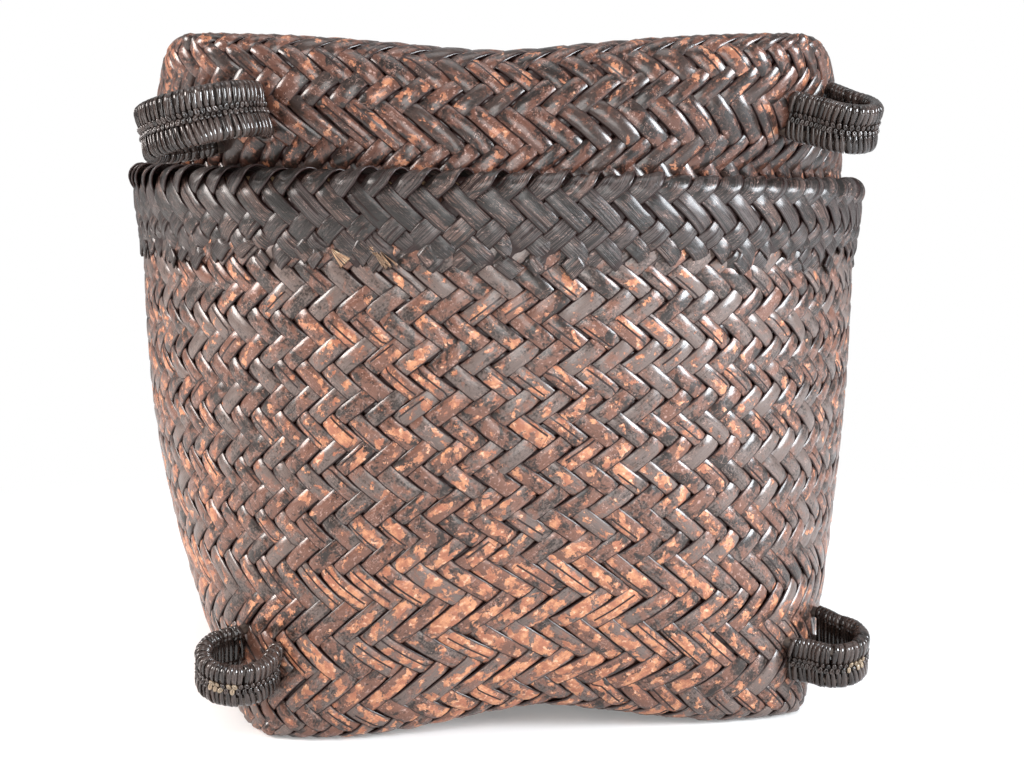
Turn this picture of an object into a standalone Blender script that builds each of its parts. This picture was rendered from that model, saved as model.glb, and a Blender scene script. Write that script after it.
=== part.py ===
# Lidded basket of twill-plaited strips, with four lashed cane ears.
# The body rises from a square base to a round mouth. The lid goes from a square top to a
# round edge, which nests inside the mouth. Metres, +Z up, front is -Y, feet on Z = 0.
import math

import bmesh
import bpy
from mathutils import Vector

# General
CLEARANCE = 0.0003          # between pieces that touch
AROUND = 48                 # columns round the basket, a multiple of 8
CUT_OVERRUN = 0.002

# Basket body, measured on the outer face of the plaited wall
BASE_HALF = 0.1247          # centre to the middle of a base side
BASE_CORNER_SHARE = 1.307   # corner distance over BASE_HALF (a sharp square has 1.414)
MOUTH_RADIUS = 0.1656
RIM_HEIGHT = 0.2336
WALL = 0.0036               # two crossing strips and their crowns
BASE_EDGE_RADIUS = 0.007
BASE_ARCH = 0.0115          # middle of a base side above the feet
BASE_DISH = 0.020           # centre of the base above the feet
FOOT_FLAT = 0.0015          # how deep the four corner feet are worn flat
BODY_LEVEL_SHARES = (0.1, 0.24, 0.42, 0.68, 1.0)
BODY_LEAN_POWER = 3.0       # the sides lean in mostly near the base
BODY_SQUARE_POWER = 3.7
FLOOR_RING_SHARES = (0.93, 0.66, 0.33)

# Rim fold: the strip ends turned down outside over a cane hoop
HEM_THICKNESS = 0.0034
HEM_DEPTH = 0.0300
HEM_LIP_THICKNESS = 0.0014  # the inner side of the fold
HEM_LIP_DEPTH = 0.0120
RIM_HOOP_DIAMETER = 0.0030

# Lid, measured on the outer face of its plaited wall
LID_TURN = math.radians(-8.6)
LID_TOP_HALF = 0.1381
LID_CORNER_SHARE = 1.288
LID_WALL = 0.0036
LID_RISE = 0.0580           # lid corners above the rim
LID_SAG = 0.0080            # middle of a top side below the corners
LID_DISH = 0.0070           # centre of the top below the corners
LID_EDGE_RADIUS = 0.0090
LID_DEPTH_IN_MOUTH = 0.0280
LID_TAPER = 0.0018          # the lid's edge is this much smaller than at the rim
LID_LEVEL_SHARES = (0.3, 0.65)
LID_LEAN_POWER = 1.84
LID_SQUARE_POWER = 1.25
LID_HEM_THICKNESS = 0.0024
LID_HEM_DEPTH = 0.0180
LID_LIP_THICKNESS = 0.0012
LID_LIP_DEPTH = 0.0080
LID_HOOP_DIAMETER = 0.0030

# Ears: two cane cores one above the other, lashed together with split cane
CORE_DIAMETER = 0.0046
LASH_DIAMETER = 0.0018
LASH_BARE = 0.0050          # core left bare next to the wall
LASH_SLACK_SHARE = 1.06     # the winding's reach over a tight one
LASH_CROWN_OUT_SHARE = 0.56  # where it passes over the cores, in and out ...
LASH_CROWN_UP_SHARE = 1.03  # ... and up and down, both over its reach
CORE_TAIL = 0.0045          # core end past the inner face of the wall
CORE_ARC_STEPS = 6
CORE_BEND_SHARES = (0.34, 0.68, 1.0)    # points along the bend from the loop to the tail
CHAIN_NECK_DIAMETER = 0.0022
CHAIN_KNOT_DIAMETER = 0.0034
CHAIN_OUT = 0.0005          # the chain of knots lies this far outside the cores' line
CHAIN_KNOT_PITCH = 0.0048
EARS = {
    # azimuth: place round the basket; height: above the feet, or the rim for the lid
    # ring: radius of the loop; reach: its centre out from the wall; foot: half the
    # distance between its two ends at the wall; sweep: degrees of arc on each side of its
    # outer end; spacing: between the centres of its two cores; roll and pitch: how it
    # tips, in degrees; turns: of the lashing
    "basket_left_ear": dict(on_lid=False, azimuth=-136.3, height=0.0357, ring=0.0141,
                            reach=0.0121, foot=0.0104, sweep=120.0, spacing=0.0126,
                            roll=-14.7, pitch=14.0, turns=13),
    "basket_right_ear": dict(on_lid=False, azimuth=-42.8, height=0.0310, ring=0.0127,
                             reach=0.0128, foot=0.0150, sweep=97.4, spacing=0.0142,
                             roll=14.8, pitch=8.2, turns=13),
    "lid_left_ear": dict(on_lid=True, azimuth=-128.7, height=0.0225, ring=0.0231,
                         reach=0.0167, foot=0.0155, sweep=122.0, spacing=0.0160,
                         roll=12.5, pitch=4.8, turns=17),
    "lid_right_ear": dict(on_lid=True, azimuth=-40.1, height=0.0270, ring=0.0117,
                          reach=0.0166, foot=0.0144, sweep=99.6, spacing=0.0140,
                          roll=8.4, pitch=16.3, turns=16),
}

# Derived sizes
FACET_SHARE = math.cos(math.pi / AROUND)    # inner reach of a faceted ring
RIM_HOOP_Z = RIM_HEIGHT - HEM_THICKNESS - CLEARANCE - RIM_HOOP_DIAMETER / 2
WALL_TOP = RIM_HOOP_Z - RIM_HOOP_DIAMETER / 2 - CLEARANCE
LIP_RADIUS = MOUTH_RADIUS - WALL - CLEARANCE - HEM_LIP_THICKNESS
LID_RADIUS = LIP_RADIUS * FACET_SHARE - CLEARANCE       # lid at the rim, inside the fold
LID_EDGE_OUTER = LID_RADIUS - LID_TAPER
LID_WALL_EDGE = LID_EDGE_OUTER - LID_LIP_THICKNESS - CLEARANCE
LID_BOTTOM = RIM_HEIGHT - LID_DEPTH_IN_MOUTH
LID_HOOP_Z = LID_BOTTOM + LID_HEM_THICKNESS + CLEARANCE + LID_HOOP_DIAMETER / 2
LID_WALL_BOTTOM = LID_HOOP_Z + LID_HOOP_DIAMETER / 2 + CLEARANCE
LASH_RADIAL = CORE_DIAMETER / 2 + CLEARANCE + LASH_DIAMETER / 2

COLOURS = {
    "plaited_strip": ((0.155, 0.090, 0.062), 0.48),
    "rim_strip": ((0.085, 0.068, 0.062), 0.50),
    "hoop_cane": ((0.300, 0.200, 0.110), 0.60),
    "ear_core": ((0.050, 0.038, 0.032), 0.60),
    "ear_lashing": ((0.022, 0.018, 0.017), 0.42),
    "ear_knots": ((0.035, 0.029, 0.026), 0.50),
}


def material(name):
    mat = bpy.data.materials.get(name)
    if mat is None:
        colour, roughness = COLOURS[name]
        mat = bpy.data.materials.new(name)
        mat.use_nodes = True
        shader = mat.node_tree.nodes["Principled BSDF"]
        shader.inputs["Base Color"].default_value = (*colour, 1.0)
        shader.inputs["Roughness"].default_value = roughness
        shader.inputs["Metallic"].default_value = 0.0
        mat.diffuse_color = (*colour, 1.0)
    return mat


def add(name, data, collection, parent=None, finish=None):
    obj = bpy.data.objects.new(name, data)
    collection.objects.link(obj)
    obj.parent = parent
    if finish:
        data.materials.append(material(finish))
    return obj


def section_radius(half, corner_share, angle):
    # Superellipse that reaches half at its sides and half times corner_share at its corners
    power = 1.0 / (0.5 - math.log2(corner_share))
    across = abs(math.cos(angle)) ** power + abs(math.sin(angle)) ** power
    return half / across ** (1.0 / power)


def corner_weight(angle):
    # 1 at the corners, 0 at the middles of the sides
    return abs(math.sin(2 * angle)) ** 1.5


def body_radius(share, angle):
    # Outer face of the body's wall, share 0 at the base and 1 at the wall's top
    half = MOUTH_RADIUS - (MOUTH_RADIUS - BASE_HALF) * (1 - share) ** BODY_LEAN_POWER
    square = BASE_CORNER_SHARE ** ((1 - share) ** BODY_SQUARE_POWER)
    return section_radius(half, square, angle)


def base_edge(angle):
    # Lowest height of the base edge: feet at the corners, arched between them
    weight = corner_weight(angle)
    return max(BASE_ARCH * (1 - weight) - FOOT_FLAT * weight, 0.0)


def body_point(share, angle):
    radius = body_radius(share, angle)
    height = base_edge(angle) * (1 - share) ** 2 + WALL_TOP * share
    return radius, height


def floor_point(share, angle):
    # Under side of the base, share 1 at its edge and 0 at its centre
    weight = corner_weight(angle)
    edge = BASE_ARCH * (1 - weight) - FOOT_FLAT * weight
    radius = (body_radius(0.0, angle) - BASE_EDGE_RADIUS) * share
    height = edge * share ** 2 + BASE_DISH * (1 - share ** 2) ** 2
    return radius, max(height, 0.0)


def edge_round(radius, height, curve, lift):
    # Middle of the rounded edge between the wall and the flat side, and its wall end
    turn = math.pi / 4
    inner = radius - curve * (1 - math.cos(turn))
    return (inner, height + lift * curve * (1 - math.sin(turn))), (radius, height + lift * curve)


def body_column(angle):
    # From the wall's top down and in under the base
    column = [body_point(share, angle) for share in reversed(BODY_LEVEL_SHARES)]
    middle, wall_end = edge_round(body_radius(0.0, angle), base_edge(angle), BASE_EDGE_RADIUS, 1)
    column += [(body_radius(wall_end[1] / WALL_TOP, angle), wall_end[1]), middle]
    column += [floor_point(share, angle) for share in (1.0, *FLOOR_RING_SHARES)]
    return column


def lid_radius(share, angle):
    # Outer face of the lid's wall, share 0 at the rim and 1 at the lid's top
    half = LID_RADIUS + (LID_TOP_HALF - LID_RADIUS) * share ** LID_LEAN_POWER
    return section_radius(half, LID_CORNER_SHARE ** (share ** LID_SQUARE_POWER), angle)


def lid_top(share, angle):
    edge = LID_RISE - LID_SAG * (1 - corner_weight(angle))
    height = edge * share ** 2 + (LID_RISE - LID_DISH) * (1 - share ** 2)
    return (lid_radius(1.0, angle) - LID_EDGE_RADIUS) * share, RIM_HEIGHT + height


def lid_column(angle):
    # From the centre of the top out and down to the edge inside the mouth
    column = [lid_top(share, angle) for share in (*reversed(FLOOR_RING_SHARES), 1.0)]
    top = column[-1][1]
    middle, wall_end = edge_round(lid_radius(1.0, angle), top, LID_EDGE_RADIUS, -1)
    wall_share = (wall_end[1] - RIM_HEIGHT) / LID_RISE
    column += [middle, (lid_radius(wall_share, angle), wall_end[1])]
    for share in reversed(LID_LEVEL_SHARES):
        column.append((lid_radius(share, angle), RIM_HEIGHT + LID_RISE * share))
    column += [(LID_RADIUS, RIM_HEIGHT - HEM_THICKNESS),
               (LID_WALL_EDGE, LID_BOTTOM + LID_LIP_DEPTH + CLEARANCE),
               (LID_WALL_EDGE, LID_WALL_BOTTOM)]
    return column


def shell(name, column_at, centre_height, centre_first, wall, collection, parent):
    # Open surface lofted from columns, closed at the middle of its flat side, then thickened
    bm = bmesh.new()
    columns = []
    for step in range(AROUND):
        angle = 2 * math.pi * step / AROUND
        points = [(r * math.cos(angle), r * math.sin(angle), z) for r, z in column_at(angle)]
        columns.append([bm.verts.new(point) for point in points])
    centre = bm.verts.new((0.0, 0.0, centre_height))
    for step in range(AROUND):
        here, there = columns[step], columns[(step + 1) % AROUND]
        for low, high in zip(range(1, len(here)), range(len(here) - 1)):
            bm.faces.new((here[high], here[low], there[low], there[high]))
        if centre_first:
            bm.faces.new((centre, here[0], there[0]))
        else:
            bm.faces.new((here[-1], centre, there[-1]))
    mesh = bpy.data.meshes.new(name)
    bm.to_mesh(mesh)
    bm.free()
    mesh.shade_smooth()
    obj = add(name, mesh, collection, parent, "plaited_strip")
    solid = obj.modifiers.new("wall", "SOLIDIFY")
    solid.thickness = wall
    solid.offset = -1.0
    solid.use_even_offset = True
    return obj


def turned(name, profile, collection, parent, finish):
    # A ring turned from a closed profile of (radius, height) points
    mesh = bpy.data.meshes.new(name)
    verts = [(radius, 0.0, height) for radius, height in profile]
    edges = [(i, (i + 1) % len(verts)) for i in range(len(verts))]
    mesh.from_pydata(verts, edges, [])
    obj = add(name, mesh, collection, parent, finish)
    screw = obj.modifiers.new("turn", "SCREW")
    screw.axis = "Z"
    screw.steps = AROUND
    screw.render_steps = AROUND
    screw.use_smooth_shade = True
    return obj


def hoop(name, radius, height, diameter, collection, parent):
    sides = 6
    profile = []
    for side in range(sides):
        angle = -2 * math.pi * side / sides
        profile.append((radius + diameter / 2 * math.cos(angle),
                        height + diameter / 2 * math.sin(angle)))
    return turned(name, profile, collection, parent, "hoop_cane")


def fold_profile(outer, inner, slot_outer, slot_inner, hoop_z, edge_z, outer_z, inner_z, up):
    # A strip fold over a hoop: outer and inner faces, the slot that holds the hoop and the
    # wall's edge, and how far the two legs reach. up is 1 at the basket, -1 at the lid.
    middle = (outer + inner) / 2
    half = (outer - inner) / 2
    slot_middle = (slot_outer + slot_inner) / 2
    slot_half = (slot_outer - slot_inner) / 2
    crown = edge_z - up * half
    points = []
    for degrees in (90, 45, 0):
        turn = math.radians(degrees)
        points.append((middle + half * math.cos(turn), crown + up * half * math.sin(turn)))
    points += [(outer, outer_z), (slot_outer, outer_z)]
    for degrees in (0, 60, 120, 180):
        turn = math.radians(degrees)
        points.append((slot_middle + slot_half * math.cos(turn),
                       hoop_z + up * slot_half * math.sin(turn)))
    points += [(slot_inner, inner_z), (inner, inner_z)]
    for degrees in (180, 135):
        turn = math.radians(degrees)
        points.append((middle + half * math.cos(turn), crown + up * half * math.sin(turn)))
    return points if up > 0 else list(reversed(points))


def ear_centre_line(ear, tail):
    # Half of the loop from its outer end to the core's end inside the wall: an arc, a
    # short blend and a straight tail. x is out from the wall, y along it.
    points = []
    sweep = math.radians(ear["sweep"])
    for step in range(CORE_ARC_STEPS + 1):
        turn = sweep * step / CORE_ARC_STEPS
        points.append(Vector((ear["reach"] + ear["ring"] * math.cos(turn),
                              ear["ring"] * math.sin(turn), 0.0)))
    start = points[-1]
    run = CORE_DIAMETER
    end = Vector((CLEARANCE, ear["foot"], 0.0))
    leave = Vector((-math.sin(sweep), math.cos(sweep), 0.0)) * run
    arrive = Vector((-run, 0.0, 0.0))
    for share in CORE_BEND_SHARES:
        points.append(hermite(start, leave, end, arrive, share))
    points.append(Vector((-tail, ear["foot"], 0.0)))
    mirrored = [Vector((p.x, -p.y, 0.0)) for p in reversed(points[1:])]
    return mirrored + points


def hermite(start, leave, end, arrive, share):
    square, cube = share ** 2, share ** 3
    return (start * (2 * cube - 3 * square + 1) + leave * (cube - 2 * square + share)
            + end * (3 * square - 2 * cube) + arrive * (cube - square))


def path_at(points, distance):
    # Point and direction at a distance along a polyline
    for first, second in zip(points, points[1:]):
        length = (second - first).length
        if distance <= length or second is points[-1]:
            return first + (second - first) * (distance / length), (second - first) / length
        distance -= length
    raise ValueError("the path has no points")


def path_length(points):
    return sum((second - first).length for first, second in zip(points, points[1:]))


def wall_crossing(points):
    # Length of the path that lies inside the wall, from its end to the wall's face
    return next(path_length(points[:i + 1]) for i, point in enumerate(points) if point.x > 0)


def smooth_frame(points, distance):
    # Point, direction and side that turn evenly where the path bends
    reach = CORE_DIAMETER / 2
    point, _ = path_at(points, distance)
    before, _ = path_at(points, distance - reach)
    after, _ = path_at(points, distance + reach)
    along = (after - before).normalized()
    return point, along, Vector((along.y, -along.x, 0.0))


def tube(name, points, diameter, collection, parent, finish, resolution, radii=None):
    curve = bpy.data.curves.new(name, "CURVE")
    curve.dimensions = "3D"
    curve.bevel_depth = diameter / 2
    curve.bevel_resolution = resolution
    curve.use_fill_caps = True
    curve.resolution_u = 1
    curve.twist_mode = "MINIMUM"
    spline = curve.splines.new("POLY")
    spline.points.add(len(points) - 1)
    for i, point in enumerate(points):
        spline.points[i].co = (*point, 1.0)
        spline.points[i].radius = radii[i] if radii else 1.0
    spline.use_smooth = True
    return add(name, curve, collection, parent, finish)


def lashing_points(path, spacing, turns):
    # One unbroken winding round both cores, eight points to the turn
    tight = LASH_RADIAL * LASH_SLACK_SHARE
    high = spacing / 2
    crown_out, crown_up = tight * LASH_CROWN_OUT_SHARE, high + tight * LASH_CROWN_UP_SHARE
    ring = [(tight, -high), (tight, high), (crown_out, crown_up), (-crown_out, crown_up),
            (-tight, high), (-tight, -high), (-crown_out, -crown_up), (crown_out, -crown_up)]
    total = path_length(path)
    first = wall_crossing(path) + LASH_BARE
    run = total - 2 * first
    count = turns * len(ring)
    points = []
    for step in range(count + 1):
        out, up = ring[step % len(ring)]
        point, along, side = smooth_frame(path, first + run * step / count)
        points.append(point + side * out + Vector((0.0, 0.0, up)))
        if step == 0:
            points.insert(0, points[0] - along * LASH_DIAMETER)
        if step == count:
            points.append(points[-1] + along * LASH_DIAMETER)
    return points


def least_self_gap(points, diameter, per_turn):
    # Least distance between stretches of a winding that lie half a turn or more apart
    samples = []
    parts = 4
    for first, second in zip(points, points[1:]):
        samples += [first.lerp(second, part / parts) for part in range(parts)]
    apart = per_turn * parts // 2
    least = min((samples[i] - samples[j]).length
                for i in range(len(samples)) for j in range(i + apart, len(samples)))
    return least - diameter


def build_ear(name, ear, collection, cutters, parents):
    turn = math.radians(ear["azimuth"])
    if ear["on_lid"]:
        height = RIM_HEIGHT + ear["height"]
        wall = LID_WALL
        radius = lid_radius(ear["height"] / LID_RISE, turn)
    else:
        height = ear["height"]
        wall = WALL
        radius = body_radius(height / WALL_TOP, turn)
    seat = bpy.data.objects.new(name + "_seat", None)
    collection.objects.link(seat)
    seat.parent = parents["lid" if ear["on_lid"] else "basket"]
    seat.location = (radius * math.cos(turn), radius * math.sin(turn), height)
    seat.rotation_euler = (math.radians(ear["roll"]), math.radians(ear["pitch"]), turn)

    tail = wall + CORE_TAIL
    path = ear_centre_line(ear, tail)
    holes = []
    for level, side in (("upper", 1), ("lower", -1)):
        lift = Vector((0.0, 0.0, side * ear["spacing"] / 2))
        tube(f"{name}_core_{level}", [point + lift for point in path], CORE_DIAMETER,
             collection, seat, "ear_core", 1)
        for foot in (1, -1):
            bpy.ops.mesh.primitive_cylinder_add(
                vertices=12, radius=(CORE_DIAMETER / 2 + CLEARANCE) / math.cos(math.pi / 12),
                depth=2 * (tail + CUT_OVERRUN), rotation=(0.0, math.pi / 2, 0.0))
            cutter = bpy.context.object
            cutter.name = f"{name}_hole_{level}_{'left' if foot > 0 else 'right'}"
            for owner in cutter.users_collection:
                owner.objects.unlink(cutter)
            cutters.objects.link(cutter)
            cutter.parent = seat
            cutter.location = (0.0, foot * ear["foot"], lift.z)
            cutter.hide_render = True
            cutter.display_type = "WIRE"
            holes.append(cutter)

    lashing = lashing_points(path, ear["spacing"], ear["turns"])
    tube(f"{name}_lashing", lashing, LASH_DIAMETER, collection, seat, "ear_lashing", 1)
    gap = least_self_gap(lashing, LASH_DIAMETER, 8)
    print(f"{name}_lashing least gap to itself: {gap * 1000:.2f} mm")

    first = wall_crossing(path) + LASH_BARE
    run = path_length(path) - 2 * first
    knots = round(run / CHAIN_KNOT_PITCH)
    chain, radii = [], []
    for step in range(2 * knots + 1):
        point, _, side = smooth_frame(path, first + run * step / (2 * knots))
        chain.append(point + side * CHAIN_OUT)
        radii.append(1.0 if step % 2 else CHAIN_NECK_DIAMETER / CHAIN_KNOT_DIAMETER)
    tube(f"{name}_knots", chain, CHAIN_KNOT_DIAMETER, collection, seat, "ear_knots", 1, radii)
    return holes


def cut_holes(obj, holes):
    for hole in holes:
        cut = obj.modifiers.new(hole.name, "BOOLEAN")
        cut.operation = "DIFFERENCE"
        cut.solver = "EXACT"
        cut.object = hole


def build():
    for obj in list(bpy.data.objects):
        bpy.data.objects.remove(obj, do_unlink=True)
    scene = bpy.context.scene
    collection = bpy.data.collections.new("lidded_basket")
    cutters = bpy.data.collections.new("cutters")
    scene.collection.children.link(collection)
    scene.collection.children.link(cutters)

    parents = {}
    for name in ("basket", "lid"):
        parents[name] = bpy.data.objects.new(name + "_axis", None)
        collection.objects.link(parents[name])
    parents["lid"].rotation_euler = (0.0, 0.0, LID_TURN)

    basket = shell("basket_shell", body_column, BASE_DISH, False, WALL, collection, parents["basket"])
    lid = shell("lid_shell", lid_column, RIM_HEIGHT + LID_RISE - LID_DISH, True, LID_WALL,
                collection, parents["lid"])

    hem = fold_profile(
        outer=MOUTH_RADIUS + CLEARANCE + HEM_THICKNESS, inner=LIP_RADIUS,
        slot_outer=MOUTH_RADIUS + CLEARANCE, slot_inner=MOUTH_RADIUS - WALL - CLEARANCE,
        hoop_z=RIM_HOOP_Z, edge_z=RIM_HEIGHT, outer_z=RIM_HEIGHT - HEM_DEPTH,
        inner_z=RIM_HEIGHT - HEM_LIP_DEPTH, up=1)
    turned("rim_hem", hem, collection, parents["basket"], "rim_strip")
    hoop("rim_hoop", MOUTH_RADIUS - WALL / 2, RIM_HOOP_Z, RIM_HOOP_DIAMETER, collection,
         parents["basket"])

    lid_hem = fold_profile(
        outer=LID_EDGE_OUTER, inner=LID_WALL_EDGE - LID_WALL - CLEARANCE - LID_HEM_THICKNESS,
        slot_outer=LID_WALL_EDGE + CLEARANCE, slot_inner=LID_WALL_EDGE - LID_WALL - CLEARANCE,
        hoop_z=LID_HOOP_Z, edge_z=LID_BOTTOM, outer_z=LID_BOTTOM + LID_LIP_DEPTH,
        inner_z=LID_BOTTOM + LID_HEM_DEPTH, up=-1)
    turned("lid_hem", lid_hem, collection, parents["lid"], "rim_strip")
    hoop("lid_hoop", LID_WALL_EDGE - LID_WALL / 2, LID_HOOP_Z, LID_HOOP_DIAMETER, collection,
         parents["lid"])

    bpy.context.view_layer.update()
    for name, ear in EARS.items():
        holes = build_ear(name, ear, collection, cutters, parents)
        cut_holes(lid if ear["on_lid"] else basket, holes)

    foot = (body_radius(0.0, math.pi / 4) - BASE_EDGE_RADIUS) * (1 + FLOOR_RING_SHARES[0]) / 2
    print(f"foot flats at {foot * math.cos(math.pi / 4):.4f} m from the axis in X and in Y")


build()
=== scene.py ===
# Lidded basket of twill-plaited strips with four lashed cane ears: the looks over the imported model.
# Metres, Z up. The body's front faces -Y, and the lid sits turned in the round mouth.
import math

import bpy
import numpy as np
from mathutils import Matrix, Vector


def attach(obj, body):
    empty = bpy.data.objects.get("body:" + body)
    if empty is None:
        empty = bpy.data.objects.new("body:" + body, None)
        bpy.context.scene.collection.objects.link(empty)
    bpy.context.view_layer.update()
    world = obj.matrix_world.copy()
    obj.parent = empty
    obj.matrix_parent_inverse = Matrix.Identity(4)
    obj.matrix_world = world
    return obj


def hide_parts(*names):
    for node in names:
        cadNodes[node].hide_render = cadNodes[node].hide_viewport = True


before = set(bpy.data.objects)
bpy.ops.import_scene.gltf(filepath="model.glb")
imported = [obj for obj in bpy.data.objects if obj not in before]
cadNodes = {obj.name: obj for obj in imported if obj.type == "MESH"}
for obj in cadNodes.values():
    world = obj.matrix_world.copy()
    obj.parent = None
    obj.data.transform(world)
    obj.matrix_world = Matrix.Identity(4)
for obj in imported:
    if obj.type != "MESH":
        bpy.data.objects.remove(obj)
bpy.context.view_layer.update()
print("frame loaded:", len(cadNodes), "nodes")


# Shader nodes
def feedSocket(tree, socket, value):
    if isinstance(value, bpy.types.NodeSocket):
        tree.links.new(value, socket)
    elif socket.type == "RGBA":
        socket.default_value = (*value, 1.0)
    else:
        socket.default_value = value


def addNode(tree, kind, **values):
    # A shader node whose named sockets get a link or a number, and whose settings get the rest
    made = tree.nodes.new("ShaderNode" + kind)
    for name, value in values.items():
        if hasattr(made, name):
            setattr(made, name, value)
        else:
            feedSocket(tree, made.inputs[name.replace("_", " ")], value)
    return made


def addInOrder(tree, kind, inputs, **settings):
    # A shader node whose first sockets are fed in their order
    made = addNode(tree, kind, **settings)
    for socket, value in zip(made.inputs, inputs):
        feedSocket(tree, socket, value)
    return made.outputs[0]


def calculate(tree, operation, first, second):
    return addInOrder(tree, "Math", (first, second), operation=operation)


def addUp(tree, start, terms):
    # start plus each value times its weight
    total = start
    for value, weight in terms:
        total = addInOrder(tree, "Math", (value, weight, total), operation="MULTIPLY_ADD")
    return total


def stepBetween(tree, value, low, high):
    made = addNode(tree, "MapRange", interpolation_type="SMOOTHSTEP", Value=value,
                   From_Min=low, From_Max=high)
    return made.outputs["Result"]


def blendColours(tree, share, first, second):
    mix = addNode(tree, "Mix", data_type="RGBA")
    for index, value in ((0, share), (6, first), (7, second)):
        feedSocket(tree, mix.inputs[index], value)
    return mix.outputs[2]


def stretched(tree, place, shares):
    return addInOrder(tree, "VectorMath", (place, shares), operation="MULTIPLY")


def mottle(tree, place, scale, detail, roughness, distortion=0.0):
    made = addNode(tree, "TexNoise", Vector=place, Scale=scale, Detail=detail,
                   Roughness=roughness, Distortion=distortion)
    return made.outputs["Fac"]


def painted(tree, name):
    return addNode(tree, "Attribute", attribute_name=name).outputs["Fac"]


def newFinish(name):
    finish = bpy.data.materials.new(name)
    finish.use_nodes = True
    return finish, finish.node_tree


# Camera and studio
camera = {"place": (-0.1282, -0.8909, 0.2336), "turn": 8.6, "dip": 6.28, "lens": 66.45,
          "film": 36.0, "nearest": 0.01}


def makeCamera(sizes):
    data = bpy.data.cameras.new("photoCamera")
    data.lens = sizes["lens"]
    data.sensor_width = sizes["film"]
    data.clip_start = sizes["nearest"]
    obj = bpy.data.objects.new("photoCamera", data)
    bpy.context.scene.collection.objects.link(obj)
    obj.location = sizes["place"]
    obj.rotation_euler = (math.radians(90.0 - sizes["dip"]), 0.0, math.radians(-sizes["turn"]))
    bpy.context.scene.camera = obj


# the lamps are given as place, size, watts and colour
studio = {"floorSize": 8.0, "floorTone": 0.80, "floorRoughness": 0.8, "floorGlow": 0.22,
          "glowFrom": 0.30, "glowTo": 0.62, "white": (1.0, 1.0, 1.0), "aim": (0.0, 0.0, 0.15),
          "worldColour": (0.96, 0.98, 1.0), "worldTone": 0.25,
          "glossColour": (0.97, 0.98, 1.0), "glossTone": 0.42,
          "lamps": {"right": ((1.30, -0.80, 0.62), 0.62, 46.0, (0.90, 0.95, 1.0)),
                    "left": ((-1.40, -0.10, 0.70), 0.55, 29.0, (1.0, 0.93, 0.89)),
                    "front": ((-0.45, -1.55, 0.85), 0.70, 12.2, (1.0, 0.985, 0.97)),
                    "top": ((0.0, -0.15, 1.50), 0.90, 6.0, (1.0, 1.0, 1.0)),
                    "low": ((-0.10, -1.60, 0.16), 0.60, 8.6, (1.0, 0.98, 0.96))}}


def makeStudio(sizes):
    scene = bpy.context.scene
    scene.view_settings.view_transform = "Standard"
    world = bpy.data.worlds.new("paleStudio")
    scene.world = world
    world.use_nodes = True
    tree = world.node_tree
    path = addNode(tree, "LightPath")
    plain = addNode(tree, "Background", Color=sizes["worldColour"], Strength=sizes["worldTone"])
    mirrored = addNode(tree, "Background", Color=sizes["glossColour"],
                       Strength=sizes["glossTone"])
    white = addNode(tree, "Background", Color=sizes["white"], Strength=1.0)
    glossy = calculate(tree, "MAXIMUM", path.outputs["Is Glossy Ray"],
                       path.outputs["Is Transmission Ray"])
    shine = addInOrder(tree, "MixShader", (glossy, plain.outputs[0], mirrored.outputs[0]))
    seen = addInOrder(tree, "MixShader",
                      (path.outputs["Is Camera Ray"], shine, white.outputs[0]))
    feedSocket(tree, tree.nodes["World Output"].inputs["Surface"], seen)
    for name, (place, size, watts, colour) in sizes["lamps"].items():
        lamp = bpy.data.lights.new(name + "Lamp", "AREA")
        lamp.size = size
        lamp.energy = watts
        lamp.color = colour
        obj = bpy.data.objects.new(name + "Lamp", lamp)
        scene.collection.objects.link(obj)
        obj.location = place
        aim = Vector(sizes["aim"]) - Vector(place)
        obj.rotation_euler = aim.to_track_quat("-Z", "Y").to_euler()
    bpy.ops.object.select_all(action="DESELECT")
    bpy.ops.mesh.primitive_plane_add(size=sizes["floorSize"], location=(0.0, 0.0, 0.0))
    floor = bpy.context.object
    floor.name = "studioFloor"
    floor.data.materials.append(whiteFloor(sizes))


def whiteFloor(sizes):
    # White to the eye: the floor glows a little round the basket, where it keeps the shadow,
    # and is plain white further out
    finish, tree = newFinish("whiteFloor")
    shader = tree.nodes["Principled BSDF"]
    tone = sizes["floorTone"]
    shader.inputs["Base Color"].default_value = (tone, tone, tone, 1.0)
    shader.inputs["Roughness"].default_value = sizes["floorRoughness"]
    shader.inputs["Emission Color"].default_value = (*sizes["white"], 1.0)
    seen = addNode(tree, "LightPath").outputs["Is Camera Ray"]
    feedSocket(tree, shader.inputs["Emission Strength"],
               calculate(tree, "MULTIPLY", seen, sizes["floorGlow"]))
    white = addNode(tree, "Emission", Color=sizes["white"], Strength=1.0)
    length = addNode(tree, "VectorMath", operation="LENGTH")
    feedSocket(tree, length.inputs[0], addNode(tree, "TexCoord").outputs["Object"])
    far = stepBetween(tree, length.outputs["Value"], sizes["glowFrom"], sizes["glowTo"])
    mix = addInOrder(tree, "MixShader", (calculate(tree, "MULTIPLY", far, seen),
                                         shader.outputs[0], white.outputs[0]))
    feedSocket(tree, tree.nodes["Material Output"].inputs["Surface"], mix)
    return finish


# Finishes
def finishShader(tree, colour, roughness, height, depth):
    shader = tree.nodes["Principled BSDF"]
    feedSocket(tree, shader.inputs["Base Color"], colour)
    feedSocket(tree, shader.inputs["Roughness"], roughness)
    bump = addNode(tree, "Bump", Strength=1.0, Distance=depth, Height=height)
    feedSocket(tree, shader.inputs["Normal"], bump.outputs["Normal"])
    return shader


def coatShader(shader, look):
    shader.inputs["Specular IOR Level"].default_value = look["specular"]
    shader.inputs["Coat Weight"].default_value = look["coat"]
    shader.inputs["Coat Roughness"].default_value = look["coatRoughness"]


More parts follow.
